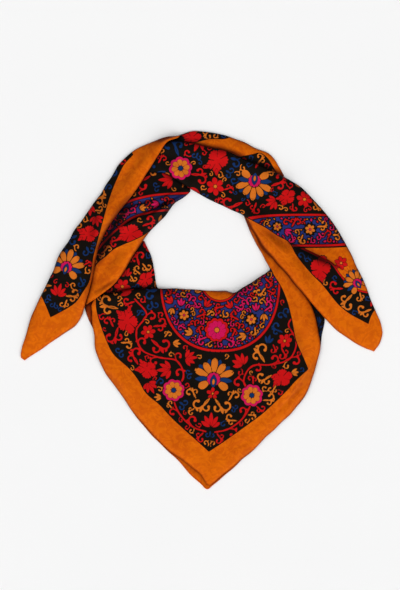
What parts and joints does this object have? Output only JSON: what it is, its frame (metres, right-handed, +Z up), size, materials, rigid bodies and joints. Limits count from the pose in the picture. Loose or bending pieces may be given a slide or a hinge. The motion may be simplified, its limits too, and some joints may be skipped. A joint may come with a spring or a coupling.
{
  "type": "silk scarf",
  "caption": "Printed silk square folded to a triangle and laid flat as a loose neck ring, with a dark flowered field, a plain orange border and crossed tails.",
  "frame": {"origin": "middle of the laid scarf, on the surface that it lies on", "axes": "+Z up from that surface, the point of the triangle towards -Y, the neck opening and its back towards +Y"},
  "size_m": [0.3962, 0.3918, 0.0162],
  "materials": {
    "printed_silk": "soft sheen, printed in orange, red, pink, blue and near black",
    "orange_silk": "soft sheen, faint tone on tone weave",
    "silk_reverse": "duller reverse of the orange silk"
  },
  "bodies": {
    "root": {"front_under_layer": "orange_silk", "left_inner_rise": "printed_silk", "left_turned_fold": "silk_reverse", "front_point": "printed_silk", "right_strip": "orange_silk", "left_stretch": "printed_silk", "back_stretch": "printed_silk", "neck_stretch": "printed_silk", "right_tail": "printed_silk", "left_tail": "printed_silk"}
  },
  "joints": []
}
